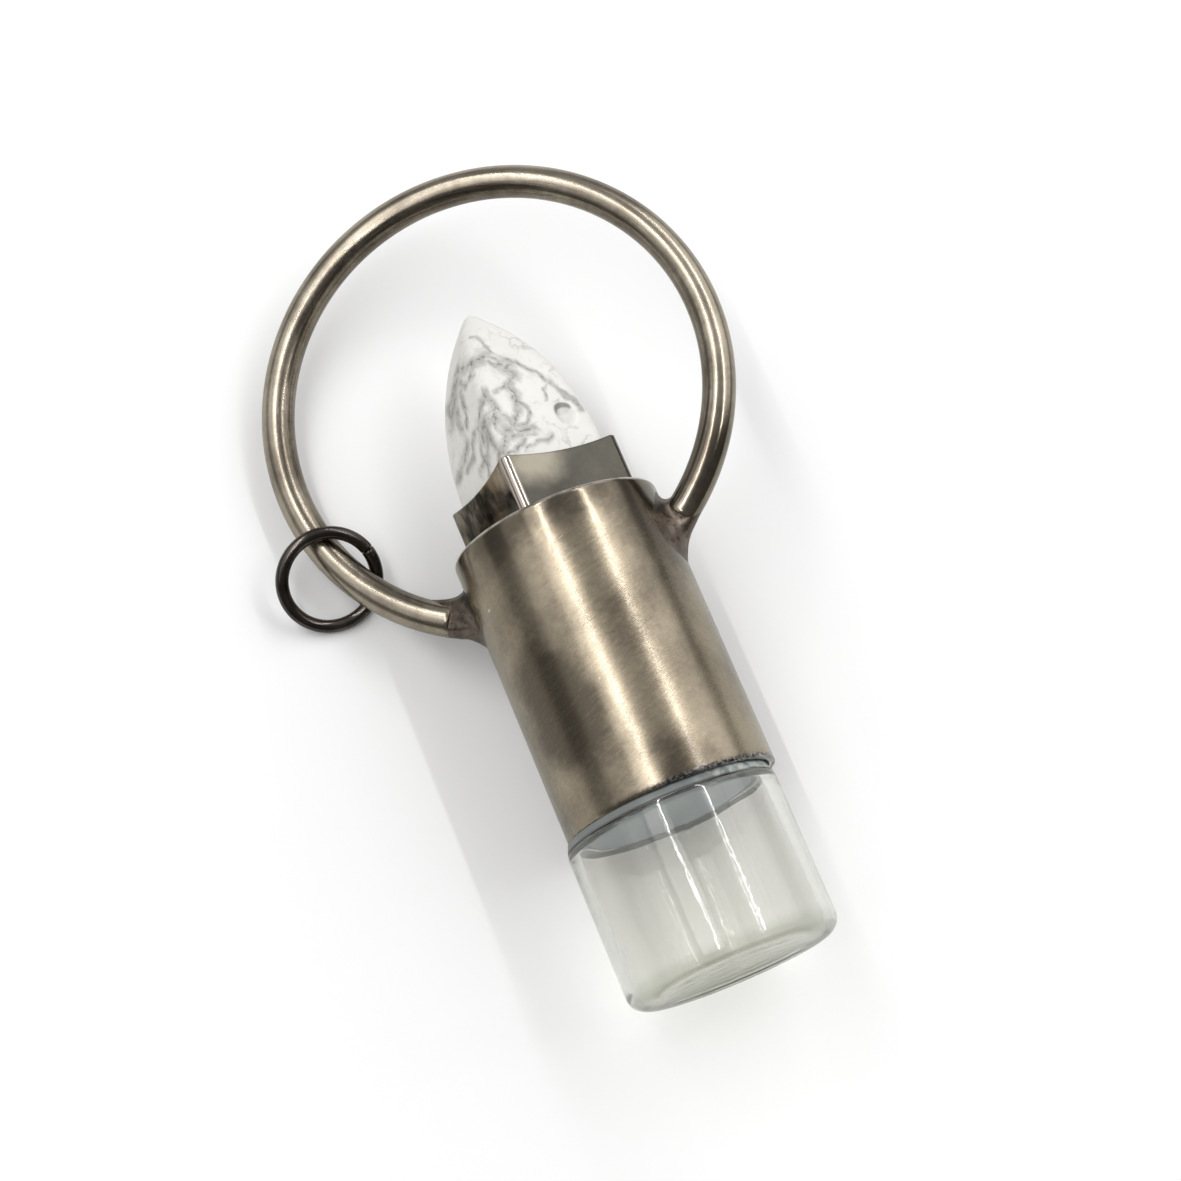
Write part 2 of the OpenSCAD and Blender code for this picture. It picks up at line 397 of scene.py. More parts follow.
def brushed_sleeve():
    material, tree, shader, place = new_finish("brushed_sleeve")
    wander = add(tree, "ShaderNodeTexNoise", {"Vector": place, "Scale": 0.3, "Detail": 3.0, "Roughness": 0.5})
    stray = vector_calc(tree, "SUBTRACT", wander.outputs["Color"], (0.5, 0.5, 0.5))
    loose = vector_calc(tree, "ADD", place, stretched(tree, stray, 4.0, 4.0))
    darkness = 0.0
    # The patches darken the plating: partly plating left dark, partly painted shade and painted dim
    # reflection
    for angle, height, around, along, strength in sleeve_dark_and_shade_patches:
        a = radians(angle)
        middle = (sleeve_r / mm * sin(a), -sleeve_r / mm * cos(a), height)
        away = vector_calc(tree, "SUBTRACT", loose, middle)
        reach = length_of(tree, stretched(tree, away, 1 / around, 1 / along))
        darkness = plus(tree, darkness, ramp(tree, reach, 0.0, 1.4, 0.26 * strength, 0.0))
    lines = use(tree, hairlines, {"Place": place, "Spacing": 0.07, "Run": 0.75, "Slant": 0.26})
    plating = plated(tree, place, metal_dark, metal_bare, 5.0, darkness)
    streak = times(tree, minus(tree, lines["Lines"], 0.5), 0.16)
    colour = tint(tree, calc(tree, "MAXIMUM", streak, 0.0), plating, (0.70, 0.64, 0.54))
    colour = tint(tree, calc(tree, "MAXIMUM", times(tree, streak, -1.0), 0.0), colour, metal_dark)
    spot = split(tree, place)
    # The outer rounded rim is lighter and rougher: worn, and partly a painted highlight along the edge
    rim = ramp(tree, spot["Z"], 22.12, 22.3)
    reach = length_of(tree, stretched(tree, place, 1.0, 0.0))
    rim = times(tree, rim, ramp(tree, reach, 7.5, 7.66))
    rim_wear_and_highlight = times(tree, rim, ramp(tree, cloud(tree, place, 1.2, 3.0), 0.3, 0.6, 0.35, 1.0))
    colour = tint(tree, rim_wear_and_highlight, colour, (0.66, 0.62, 0.55))
    # Painted light: the bore near the mouth is pale and not metal, standing in for light scattered into the
    # gap
    painted_bore_light = times(tree, ramp(tree, spot["Z"], 2.4, 2.0), ramp(tree, reach, 7.72, 7.60))
    colour = tint(tree, painted_bore_light, colour, (0.80, 0.84, 0.83))
    sawn = times(tree, ramp(tree, spot["Z"], 0.5, 0.12), ramp(tree, reach, 7.70, 7.80))
    crumbs = ramp(tree, cloud(tree, place, 0.22, 3.0, 0.7), 0.47, 0.56)
    sawn = times(tree, sawn, ramp(tree, spot["X"], -3.0, 4.0))
    crumb = tint(tree, crumbs, (0.06, 0.055, 0.05), (0.5, 0.5, 0.49))
    colour = tint(tree, sawn, colour, crumb)
    rough = plus(tree, 0.235, times(tree, lines["Lines"], 0.06))
    rough = minus(tree, rough, ramp(tree, spot["Z"], 18.5, 21.5, 0.0, 0.09))
    rough = plus(tree, rough, times(tree, rim_wear_and_highlight, 0.15))
    # Tiny bright specks: painted glints of small dents
    glint_dots = add(tree, "ShaderNodeTexVoronoi", {"Vector": place, "Scale": 0.4}).outputs["Distance"]
    colour = tint(tree, ramp(tree, glint_dots, 0.035, 0.05, 1.0, 0.0), colour, (0.85, 0.80, 0.72))
    strength = ramp(tree, spot["Z"], 18.0, 21.5, 1.0, 0.35)
    height = times(tree, lines["Height"], strength)
    height = plus(tree, height, times(tree, times(tree, crumbs, sawn), 1.5))
    bump = bumped(tree, height, 0.2, 0.02)
    finish = {
        "Coat Weight": 0.6,
        "Coat Roughness": 0.17,
        "Metallic": minus(tree, 1.0, painted_bore_light),
        "Base Color": colour,
        "Roughness": rough,
        "Normal": bump,
    }
    feed(tree, shader, finish)
    return material


def sleeve_shape(angle, radius, height):
    """Takes small nicks out of the mouth, and a hair off the wall where the brushing bit deeper."""
    around = Vector((cos(angle), sin(angle), height / (7 * mm)))
    if radius > sleeve_r - sleeve_wall / 2 and height < sleeve_len - rim_r:
        radius -= brush_depth * (1 + noise.noise(around * 2.2))
    if height < nick_depth:
        nick = noise.noise(Vector((cos(angle), sin(angle), 3.1)) * 21)
        height += nick_depth * max(0.0, nick)
    return radius, height


def sleeve_outline():
    bore = sleeve_r - sleeve_wall
    lip = 0.05 * mm
    rows = 40
    outer = [(sleeve_r, lip + (sleeve_len - rim_r - lip) * k / rows) for k in range(rows)]
    inside = [(0, sleeve_len - plate_t), (bore, sleeve_len - plate_t), (bore, painted_bore_rise)]
    inside += [(bore, 4 * lip), (bore, lip), (bore + lip, 0)]
    rim = arc(sleeve_r - rim_r, sleeve_len - rim_r, rim_r, 0, 90, 6)
    return inside + [(sleeve_r - lip, 0)] + outer + rim + [(0, sleeve_len)]


sleeve = turned("sleeve", sleeve_outline(), 360, laid, sleeve_shape)
sleeve.data.materials.append(brushed_sleeve())
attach(sleeve, "cap")
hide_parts("cap")

# The bezel is a short square box of thin polished strip, soldered on the sleeve's top to hold the stone.
# It is turned a little from the hoop's plane, and its top edges are filed slightly hollow.
bezel_side = 10.0 * mm
bezel_h = 4.4 * mm
bezel_wall = 0.5 * mm
bezel_corner_r = 0.6 * mm
bezel_dip = 0.4 * mm
bezel_bevel = 0.07 * mm
square_turn = radians(45 - 4)
on_square = laid @ Matrix.Translation((0, 0, sleeve_len)) @ Matrix.Rotation(square_turn, 4, "Z")


def square_loop(half, corner, per_side, per_corner):
    """Points round a square with round corners, with each point's place along its side, -1 to 1."""
    loop = []
    for quarter in range(4):
        turn = Matrix.Rotation(pi / 2 * quarter, 2)
        for k in range(per_side):
            share = -1 + 2 * k / per_side
            loop.append((turn @ Vector((half, share * (half - corner))), share))
        for k in range(per_corner):
            a = pi / 2 * k / per_corner
            middle = half - corner
            loop.append((turn @ Vector((middle + corner * cos(a), middle + corner * sin(a))), 1.0))
    return loop


def bezel_box():
    """The strip swept round the square. Its sides sink in by a hair and its top dips between the corners."""
    half = bezel_side / 2
    outer = square_loop(half, bezel_corner_r, 24, 10)
    inner = square_loop(half - bezel_wall, max(0.1 * mm, bezel_corner_r - bezel_wall), 24, 10)
    seat = -plate_t / 2
    points, faces = [], []
    for (out, share), (inn, _) in zip(outer, inner):
        top = bezel_h - bezel_dip * (1 - share * share)
        sag = 1 - 0.006 * sin(pi * 0.5 * (1 - abs(share)))
        step = (inn - out).normalized() * bezel_bevel
        for flat, height in (
            (out * sag, seat),
            (out * sag, 0.0),
            (out * sag, bezel_h * 0.5),
            (out, top - 2 * bezel_bevel),
            (out, top - bezel_bevel),
            (out + step, top),
            (inn - step, top),
            (inn, top - bezel_bevel),
            (inn, 0.0),
            (inn, seat),
        ):
            points.append((flat.x, flat.y, height))
    rows = 10
    count = len(outer)
    for k in range(count):
        n = (k + 1) % count
        for row in range(rows):
            up = (row + 1) % rows
            faces.append((k * rows + row, n * rows + row, n * rows + up, k * rows + up))
    return made_of("bezel", points, faces, on_square)


def polished_metal():
    material, tree, shader, place = new_finish("polished_bezel")
    dark, bare = (0.07, 0.066, 0.056), (0.16, 0.15, 0.128)
    plating = plated(tree, place, dark, bare, 5.0, 0.03)
    spot = split(tree, place)
    # Painted reflections: a light blotch on the front right face and light smears on the front left face.
    # A painted highlight on the front corner
    away = vector_calc(tree, "SUBTRACT", place, (-2.6, -5.0, 3.6))
    away = vector_calc(tree, "MULTIPLY", away, (0.37, 3.0, 0.48))
    reach = length_of(tree, away)
    reach = plus(tree, reach, times(tree, cloud(tree, place, 0.9, 4.0), 0.4))
    colour = tint(tree, ramp(tree, reach, 0.45, 1.45, 1.0, 0.0), plating, (0.44, 0.40, 0.32))
    left_face = ramp(tree, spot["X"], -4.7, -4.9)
    left_face_reflection = ramp(tree, cloud(tree, stretched(tree, place, 0.9, 0.45), 1.0, 3.0, 0.6), 0.35, 0.65)
    colour = tint(tree, times(tree, left_face, left_face_reflection), colour, (0.50, 0.44, 0.36))
    # Painted highlight on the front corner
    corner = ramp(tree, plus(tree, spot["X"], spot["Y"]), -9.3, -9.5)
    colour = tint(tree, corner, colour, (0.56, 0.49, 0.43))
    # Polishing left rubs across and soft smears
    rubs = cloud(tree, stretched(tree, place, 0.5, 6.0), 0.5, 2.0)
    smear = cloud(tree, place, 1.6, 3.0)
    rough = plus(tree, 0.09, times(tree, ramp(tree, smear, 0.4, 0.75), 0.14))
    bump = bumped(tree, plus(tree, rubs, smear), 0.25, 0.01)
    feed(tree, shader, {"Metallic": 1.0, "Base Color": colour, "Roughness": rough, "Normal": bump})
    return material


bezel = bezel_box()
bezel.data.materials.append(polished_metal())
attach(bezel, "cap")
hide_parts("cap")

# The hoop is one length of drawn brass wire bent round to a ring, with both ends cut square.
# It has the cap's antique plating, worn bright along the outside and darker on the inner side, partly as
# painted shade, and finely pitted on the inner side.
wire_cut_x = {-1: 9.75 * mm, 1: 8.85 * mm}
wire_chamfer = 0.06 * mm


def cut_angle(side):
    """Where the wire is cut, measured round the hoop's centre from straight down."""
    return asin((wire_cut_x[side] + side * hoop_off) / hoop_r)


def tube_faces(rings, around):
    """The side faces of a tube whose points lie ring after ring."""
    faces = []
    for first in range(0, (rings - 1) * around, around):
        for k in range(around):
            a, b = first + k, first + (k + 1) % around
            faces.append((a, b, b + around, a + around))
    return faces


def swept_wire(piece, path, span, arc_r, radius, chamfer, steps, around, matrix):
    """Round wire along an arc with chamfered ends. path gives, for an angle, the middle of the wire, the
    direction away from the arc's centre, and the arc's axis. Each point keeps its place round and along the
    wire, in mm, for the drawn lines of the finish."""
    points, places = [], []
    start, end = span
    length = (end - start) * arc_r
    ends = [(0.0, -chamfer), (chamfer / length, 0.0)]
    stations = ends + [(k / steps, 0.0) for k in range(1, steps)]
    stations += [(1 - share, grow) for share, grow in reversed(ends)]
    for share, grow in stations:
        middle, out, side = path(start + (end - start) * share)
        for k in range(around):
            a = 2 * pi * k / around
            r = radius + grow
            points.append(middle + (out * cos(a) + side * sin(a)) * r)
            places.append((radius * cos(a) / mm, radius * sin(a) / mm, share * length / mm))
    count = len(stations)
    faces = tube_faces(count, around)
    faces.append(tuple(range(around - 1, -1, -1)))
    faces.append(tuple(range((count - 1) * around, count * around)))
    wire = made_of(piece, points, faces, matrix)
    keep(wire.data, "wire_place", "FLOAT_VECTOR", [c for place in places for c in place])
    return wire


def hoop_path(angle):
    """The wire's middle, its outward direction and the hoop's axis, with angles from straight down."""
    out = Vector((sin(angle), 0, -cos(angle)))
    return Vector((-hoop_off, 0, hoop_rise)) + out * hoop_r, out, Vector((0, 1, 0))


def drawn_wire():
    material, tree, shader, place = new_finish("antique_hoop")
    along = kept(tree, "wire_place")
    spot = split(tree, along)
    # The plating is darker on the wire's inner side, which faces the hoop's middle, partly as painted shade,
    # and darker near the right end
    inner = ramp(tree, spot["X"], 0.3, -1.0)
    near_end = ramp(tree, spot["Z"], 3.0, 15.0, 1.0, 0.0)
    darkness = times(tree, plus(tree, inner, near_end), 0.13)
    dark, bare = (0.16, 0.132, 0.10), (0.54, 0.475, 0.375)
    plating = plated(tree, along, dark, bare, 4.0, darkness)
    drawn = cloud(tree, stretched(tree, along, 5.5, 0.22), 1.0, 3.0, 0.65)
    sand = cloud(tree, place, 0.2, 2.0)
    pits = times(tree, ramp(tree, cloud(tree, along, 0.22, 2.0), 0.62, 0.72), inner)
    deep = calc(tree, "MULTIPLY_ADD", inner, 0.35, 0.12)
    groove = times(tree, ramp(tree, drawn, 0.56, 0.40), deep)
    colour = tint(tree, groove, plating, (0.075, 0.06, 0.046))
    colour = tint(tree, times(tree, pits, 0.6), colour, (0.05, 0.04, 0.032))
    rough = plus(tree, 0.23, times(tree, ramp(tree, drawn, 0.35, 0.7), 0.08))
    rough = minus(tree, rough, times(tree, near_end, 0.11))
    height = plus(tree, times(tree, sand, 0.25), times(tree, drawn, 0.4))
    height = minus(tree, height, times(tree, pits, 0.7))
    bump = bumped(tree, height, 0.2, 0.02)
    finish = {
        "Metallic": 1.0,
        "Coat Weight": 0.35,
        "Coat Roughness": 0.2,
        "Base Color": colour,
        "Roughness": rough,
        "Normal": bump,
    }
    feed(tree, shader, finish)
    return material


hoop_span = (cut_angle(1), 2 * pi - cut_angle(-1))
hoop = swept_wire("hoop", hoop_path, hoop_span, hoop_r, wire_r, wire_chamfer, 260, 40, laid)
hoop.data.materials.append(drawn_wire())
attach(hoop, "cap")
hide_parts("cap")

# Solder fixes the wire's ends to the sleeve. It ran up the sleeve towards the rim and round the back of the
# wire, set in a hollow curve, and took the plating dull and pitted.
foot_sink = 0.03 * mm
solder_joints = {
    "solder_right": {"side": 1, "foot": 19.0, "up": 3.1, "down": 3.6, "across": 4.0, "creep": (1.2, 1.0)},
    "solder_left": {"side": -1, "foot": 18.5, "up": 2.7, "down": 2.9, "across": 2.8, "creep": (1.9, 2.2)},
}


def solder_blob(piece, side, foot, up, down, across, creep):
    """A skin drawn from the wire out to its foot on the sleeve. It starts a little under the wire's surface,
    further back on the wire's outer and inner sides, and runs out flat on the sleeve."""
    turn = side * cut_angle(side)
    middle, out, _ = hoop_path(turn)
    inward = Vector((-side * cos(turn), 0, -side * sin(turn)))
    around, steps = 96, 26
    points, skin, faces = [], [], []
    for k in range(around):
        a = 2 * pi * k / around
        flat = cos(a) ** 2
        rough = noise.noise(Vector((2.2 * cos(a), 2.2 * sin(a), side * 5)))
        back = flat * (creep[0] if cos(a) > 0 else creep[1]) * mm * (1 + 0.25 * rough)
        away = out * cos(a) + Vector((0, sin(a), 0))
        behind = turn + side * back / hoop_r
        start_middle, start_out, _ = hoop_path(behind)
        start_away = start_out * cos(a) + Vector((0, sin(a), 0))
        start = start_middle + start_away * wire_r * (0.86 + 0.12 * flat)
        reach = (down if cos(a) > 0 else up) * mm
        ragged = 1 + 0.12 * rough
        rise = -cos(a) * reach * ragged
        spread = sin(a) * across * mm * ragged / sleeve_r
        foot_r = sleeve_r - foot_sink
        end = Vector((side * foot_r * cos(spread), foot_r * sin(spread), foot * mm + rise))
        slope = Vector((-side * sin(spread) * sin(a), cos(spread) * sin(a), -cos(a))).normalized()
        gap = (end - start).length
        first = start + inward * (back + 0.25 * (gap - back)) + away * 0.28 * mm * flat
        last = end - slope * 0.42 * (gap - back)
        for row in range(steps + 1):
            t = row / steps
            p = start * (1 - t) ** 3 + first * 3 * t * (1 - t) ** 2 + last * 3 * t * t * (1 - t) + end * t**3
            lump = noise.noise(p / (1.2 * mm)) * 0.10 + noise.noise(p / (0.45 * mm)) * 0.035
            points.append(p + away * lump * mm * sin(pi * t))
            skin.append(t)
    rows = steps + 1
    for k in range(around):
        n = (k + 1) % around
        for row in range(steps):
            a, b = k * rows + row, n * rows + row
            faces.append((a, b, b + 1, a + 1) if side < 0 else (a, a + 1, b + 1, b))
    tail, root = len(points), len(points) + 1
    points += [middle.copy(), Vector((side * (sleeve_r - 0.3 * mm), 0, foot * mm))]
    skin += [0.0, 1.0]
    for k in range(around):
        a, b = k * rows, ((k + 1) % around) * rows
        faces.append((tail, b, a) if side < 0 else (tail, a, b))
        a, b = a + steps, b + steps
        faces.append((root, a, b) if side < 0 else (root, b, a))
    blob = made_of(piece, points, faces, laid)
    keep(blob.data, "skin", "FLOAT", skin)
    return blob


def dull_solder():
    material, tree, shader, place = new_finish("dull_solder")
    dark, bare = (0.075, 0.06, 0.049), (0.24, 0.20, 0.165)
    plating = plated(tree, place, dark, bare, 1.3, 0.02)
    lumps = cloud(tree, place, 0.6, 3.0)
    pits = ramp(tree, cloud(tree, place, 0.5, 3.0, 0.6), 0.56, 0.72, 0.0, 0.8)
    skin = kept(tree, "skin", "Fac")
    # Painted shade: a broken dark line along the crease where the solder's edge meets the sleeve
    broken = ramp(tree, cloud(tree, place, 0.7, 3.0), 0.4, 0.62)
    seam_shade = times(tree, ramp(tree, skin, 0.82, 1.0), broken)
    stain = ramp(tree, cloud(tree, place, 0.3, 3.0), 0.58, 0.68, 0.0, 0.75)
    colour = tint(tree, stain, plating, (0.07, 0.038, 0.032))
    colour = tint(tree, pits, colour, (0.045, 0.033, 0.027))
    colour = tint(tree, times(tree, seam_shade, 0.8), colour, (0.035, 0.028, 0.024))
    rough = plus(tree, 0.27, times(tree, lumps, 0.16))
    height = minus(tree, lumps, times(tree, pits, 0.5))
    bump = bumped(tree, height, 0.5, 0.05)
    feed(tree, shader, {"Metallic": 1.0, "Base Color": colour, "Roughness": rough, "Normal": bump})
    return material


solder_finish = dull_solder()
for piece, joint in solder_joints.items():
    blob = solder_blob(piece, **joint)
    blob.data.materials.append(solder_finish)
    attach(blob, "cap")
    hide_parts("cap")

# The stone is a point of white howlite with four soft faces, carved by hand and polished, and glued in the
# bezel. Grey veins net its left and lower parts, one long vein runs down the right, and it has a small pit.
stone_len = 18.0 * mm
shank_len = 4.4 * mm
stone_gap = 0.1 * mm
stone_edge_r = 0.7 * mm
stone_taper = 0.7
stone_lean = 0.25 * mm
pit_at = (0.74, 7.0)
pit_size = 1.15
pit_depth = 0.42 * mm
chart_rise = 0.6
vein_swell = 1.1
stray_seed = 5
carve_depth = 0.05 * mm

# Veins that show, charted on the two front faces: width in mm, then (across, height) points. Across runs from
# the front edge, at 0, to the next edge at the right, at 1, or at the left, at -1. Heights are in mm and
# count from chart_rise above the stone's foot.
veins = (
    (0.16, ((0.07, 14.8), (0.2, 14.5), (0.25, 13.8), (0.3, 12.9), (0.5, 11.5))),
    (0.16, ((0.5, 11.5), (0.7, 10.4), (0.76, 9.2), (0.88, 7.7), (0.91, 6.4))),
    (0.10, ((0.75, 9.2), (0.67, 8.6), (0.63, 7.8))),
    (0.12, ((0.81, 8.6), (0.83, 7.8), (0.9, 6.7))),
    (0.42, ((-0.46, 13.0), (-0.15, 12.6), (0.1, 12.4), (0.24, 12.4), (0.35, 11.9), (0.41, 10.4))),
    (0.22, ((0.23, 12.4), (0.26, 11.6), (0.45, 11.3))),
    (0.26, ((0.42, 10.4), (0.35, 9.7), (0.34, 8.6), (0.28, 7.3), (0.2, 6.2), (0.23, 5.6), (0.37, 5.6))),
    (0.2, ((0.17, 9.3), (0.26, 9.5), (0.32, 9.8), (0.3, 8.4))),
    (0.26, ((0.05, 9.5), (-0.07, 8.7), (-0.2, 7.8), (-0.27, 7.2), (-0.24, 6.2))),
    (0.24, ((0.05, 9.5), (0.08, 8.4), (0.12, 7.4), (0.19, 6.2))),
    (0.3, ((-0.2, 7.0), (-0.04, 7.3), (0.07, 7.8), (0.04, 6.6), (0.14, 5.6))),
    (0.14, ((0.33, 8.3), (0.4, 7.3), (0.34, 6.1), (0.25, 6.2))),
    (0.2, ((0.12, 5.1), (0.25, 5.2), (0.36, 5.2))),
    (0.14, ((0.21, 4.1), (0.34, 4.3), (0.5, 5.0))),
    (0.4, ((-0.5, 12.2), (-0.78, 11.2), (-0.75, 9.8), (-0.58, 11.2))),
    (0.22, ((-0.42, 11.2), (-0.4, 9.7), (-0.45, 8.4))),
    (0.3, ((-0.58, 10.0), (-0.56, 8.4), (-0.54, 7.2), (-0.66, 6.6), (-0.85, 5.8))),
    (0.24, ((-0.36, 7.2), (-0.5, 6.0), (-0.66, 5.6))),
    (0.3, ((-0.16, 6.4), (-0.23, 5.2), (-0.44, 4.6))),
    (0.22, ((-0.08, 12.4), (-0.1, 11.3), (-0.28, 11.1), (-0.4, 11.9))),
    (0.25, ((-0.1, 7.2), (-0.13, 5.9), (-0.05, 4.6), (-0.15, 3.4))),
    (0.22, ((-0.3, 6.8), (-0.34, 5.6), (-0.28, 4.4), (-0.36, 3.2))),
    (0.2, ((0.03, 6.6), (0.07, 5.4), (0.02, 4.2))),
    (0.18, ((0.3, 5.2), (0.2, 4.4), (0.05, 4.1), (-0.1, 4.4))),
)


def stone_section(height):
    """Half width and corner radius of the stone at a height above its seat."""
    rise = max(0.0, (height - shank_len) / (stone_len - shank_len))
    half = (bezel_side / 2 - bezel_wall - stone_gap) * max(0.0, 1 - rise * rise) ** stone_taper
    return half, min(half * 0.96, stone_edge_r * (1 + 0.8 * rise))


def stone_chart(x, y, half):
    """Where a point lies round the stone, in faces, counted from the front edge."""
    if y < -abs(x) + 1e-9:
        return (x + half) / (2 * half)
    if x < -abs(y) + 1e-9:
        return -(y + half) / (2 * half)
    if x > 0 and x >= abs(y):
        return 1 + (y + half) / (2 * half)
    return -1 - (x + half) / (2 * half)


def vein_distance(spots, halves):
    """For each (across, height in mm) on the stone, how far it is from the nearest vein, in vein widths."""
    nearest = np.full(len(spots), 9.0)
    width = 2 * halves / mm
    for thick, points in veins:
        for (s0, z0), (s1, z1) in zip(points, points[1:]):
            start = np.stack([(spots[:, 0] - s0) * width, spots[:, 1] - z0], 1)
            run = np.stack([(s1 - s0) * width, np.full(len(spots), z1 - z0)], 1)
            share = np.clip((start * run).sum(1) / np.maximum((run * run).sum(1), 1e-9), 0, 1)
            gap = np.linalg.norm(start - run * share[:, None], axis=1)
            nearest = np.minimum(nearest, gap / (thick * vein_swell))
    return nearest


def stone_point():
    noise.seed_set(stray_seed)
    rows, per_side, per_corner = 205, 80, 10
    count = 4 * (per_side + per_corner)
    levels = [shank_len * k / 12 for k in range(12)]
    levels += [shank_len + (stone_len - shank_len) * sin(pi / 2 * k / rows) for k in range(rows)]
    points, spots, halves, pits = [], [], [], []
    for level in levels:
        half, corner = stone_section(level)
        for flat, _ in square_loop(half, corner, per_side, per_corner):
            across = stone_chart(flat.x, flat.y, half)
            high = level / mm
            dent = sqrt(((across - pit_at[0]) * 2.4 * half / mm) ** 2 + (high - pit_at[1]) ** 2) / pit_size
            here = Vector((flat.x, flat.y, level))
            inward = Vector((flat.x, flat.y, 0)).normalized()
            sink = pit_depth * max(0.0, 1 - dent * dent) ** 1.3
            uneven = carve_depth * (1 + noise.noise(here / (3.2 * mm))) * min(1.0, half / (1.5 * mm))
            here -= inward * (sink + uneven * min(1.0, level / shank_len))
            lean = stone_lean * (level / stone_len) ** 2
            here += Vector((cos(square_turn), -sin(square_turn), 0)) * lean
            points.append(here)
            stray = noise.noise_vector(here / (1.4 * mm)) * 0.32
            stray += noise.noise_vector(here / (0.5 * mm)) * 0.16
            spots.append((across + stray.x / max(2 * half / mm, 1.5), high - chart_rise + stray.y))
            halves.append(half)
            pits.append(((across - pit_at[0]) * 2 * half / mm, high - pit_at[1], 0.0))
    faces = tube_faces(len(levels), count)
    top = len(points)
    lean_tip = Vector((cos(square_turn), -sin(square_turn), 0)) * stone_lean
    points.append(Vector((0, 0, stone_len)) + lean_tip)
    spots.append((0.0, stone_len / mm))
    halves.append(halves[-1])
    pits.append((9.0, 9.0, 0.0))
    last = (len(levels) - 1) * count
    faces += [(last + k, last + (k + 1) % count, top) for k in range(count)]
    faces.append(tuple(range(count - 1, -1, -1)))
    stone = made_of("stone_point", points, faces, on_square @ Matrix.Translation((0, 0, stone_gap)))
    distance = vein_distance(np.array(spots), np.array(halves))
    keep(stone.data, "vein_gap", "FLOAT", distance.astype(np.float32))
    keep(stone.data, "pit_place", "FLOAT_VECTOR", [c for place in pits for c in place])
    return stone


def veined_howlite():
    material, tree, shader, place = new_finish("howlite")
    gap = kept(tree, "vein_gap", "Fac")
    # A charted vein is a thin dark line in a broader soft one, both frayed, with a faint grey halo
    fine = times(tree, minus(tree, cloud(tree, place, 0.3, 3.0, 0.55), 0.5), 1.5)
    frayed = plus(tree, gap, fine)
    faded = ramp(tree, cloud(tree, place, 1.3, 2.0), 0.30, 0.52, 0.5, 1.0)
    thin_line = times(tree, ramp(tree, frayed, 0.0, 0.55, 1.0, 0.0), faded)
    broad_line = times(tree, ramp(tree, frayed, 0.2, 2.2, 0.6, 0.0), faded)
    charted = calc(tree, "MAXIMUM", thin_line, broad_line)
    smudged = ramp(tree, cloud(tree, place, 1.3, 2.0), 0.42, 0.62)
    halo = times(tree, ramp(tree, gap, 0.4, 3.2, 0.42, 0.0), smudged)
    # A faint web fills the stone away from the charted veins, and hair cracks run near them
    bend = add(tree, "ShaderNodeTexNoise", {"Vector": place, "Scale": 0.5, "Detail": 5.0, "Roughness": 0.65})
    bent = vector_calc(tree, "ADD", place, stretched(tree, bend.outputs["Color"], 3.4, 3.4))
    cells = add(tree, "ShaderNodeTexVoronoi", {"Vector": bent, "Scale": 0.45}, feature="DISTANCE_TO_EDGE")
    web = ramp(tree, cells.outputs["Distance"], 0.0, 0.09, 1.0, 0.0)
    area = ramp(tree, cloud(tree, place, 4.0, 2.0), 0.44, 0.6)
    away = ramp(tree, gap, 2.5, 6.0)
    web = times(tree, times(tree, web, area), times(tree, away, 0.4))
    vein = calc(tree, "MAXIMUM", charted, web)
    cracks = add(tree, "ShaderNodeTexVoronoi", {"Vector": bent, "Scale": 1.15}, feature="DISTANCE_TO_EDGE")
    spidery = ramp(tree, cracks.outputs["Distance"], 0.0, 0.06, 0.4, 0.0)
    spidery = times(tree, spidery, ramp(tree, gap, 1.0, 4.5, 1.0, 0.0))
    spidery = times(tree, spidery, ramp(tree, cloud(tree, place, 1.6, 2.0), 0.45, 0.58))
    vein = calc(tree, "MAXIMUM", vein, spidery)
    white = tint(tree, cloud(tree, place, 2.2, 4.0), (0.73, 0.72, 0.68), (0.86, 0.85, 0.81))
    clouded = tint(tree, halo, white, (0.42, 0.405, 0.375))
    pit = kept(tree, "pit_place")
    # The pit's painted shade: its hollow in grey, its upper side in dark painted shadow, and its lit bottom
    # left
    # clear of that shadow: middle, reach across and reach up, in mm
    ovals = (((0.0, 0.0, 0), 1.0, 1.25), ((0.05, 0.45, 0), 0.72, 0.52), ((0.16, 0.2, 0), 0.52, 0.36))
    reaches = []
    for middle, across, up in ovals:
        away = vector_calc(tree, "SUBTRACT", pit, middle)
        reaches.append(length_of(tree, vector_calc(tree, "MULTIPLY", away, (1 / across, 1 / up, 0))))
    hollow = ramp(tree, reaches[0], 1.0, 0.45, 0.0, 0.28)
    clouded = tint(tree, hollow, clouded, (0.42, 0.405, 0.37))
    bottom = ramp(tree, reaches[2], 1.25, 0.8, 0.0, 0.85)
    pit_shadow = calc(tree, "SUBTRACT", ramp(tree, reaches[1], 1.08, 0.85), bottom, clamp=True)
    clouded = tint(tree, times(tree, pit_shadow, 0.85), clouded, (0.17, 0.16, 0.15))
    grey = tint(tree, cloud(tree, place, 0.6, 3.0), (0.18, 0.17, 0.155), (0.38, 0.36, 0.33))
    swell = times(tree, cloud(tree, place, 1.5, 3.0), 0.5)
    height = minus(tree, swell, times(tree, vein, 0.3))
    bump = bumped(tree, height, 0.3, 0.03)
    finish = {
        "IOR": 1.59,
        "Base Color": tint(tree, vein, clouded, grey),
        "Roughness": plus(tree, 0.30, times(tree, vein, 0.16)),
        "Normal": bump,
    }
    feed(tree, shader, finish)
    return material


stone = stone_point()
stone.data.materials.append(veined_howlite())
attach(stone, "cap")
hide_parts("stone")

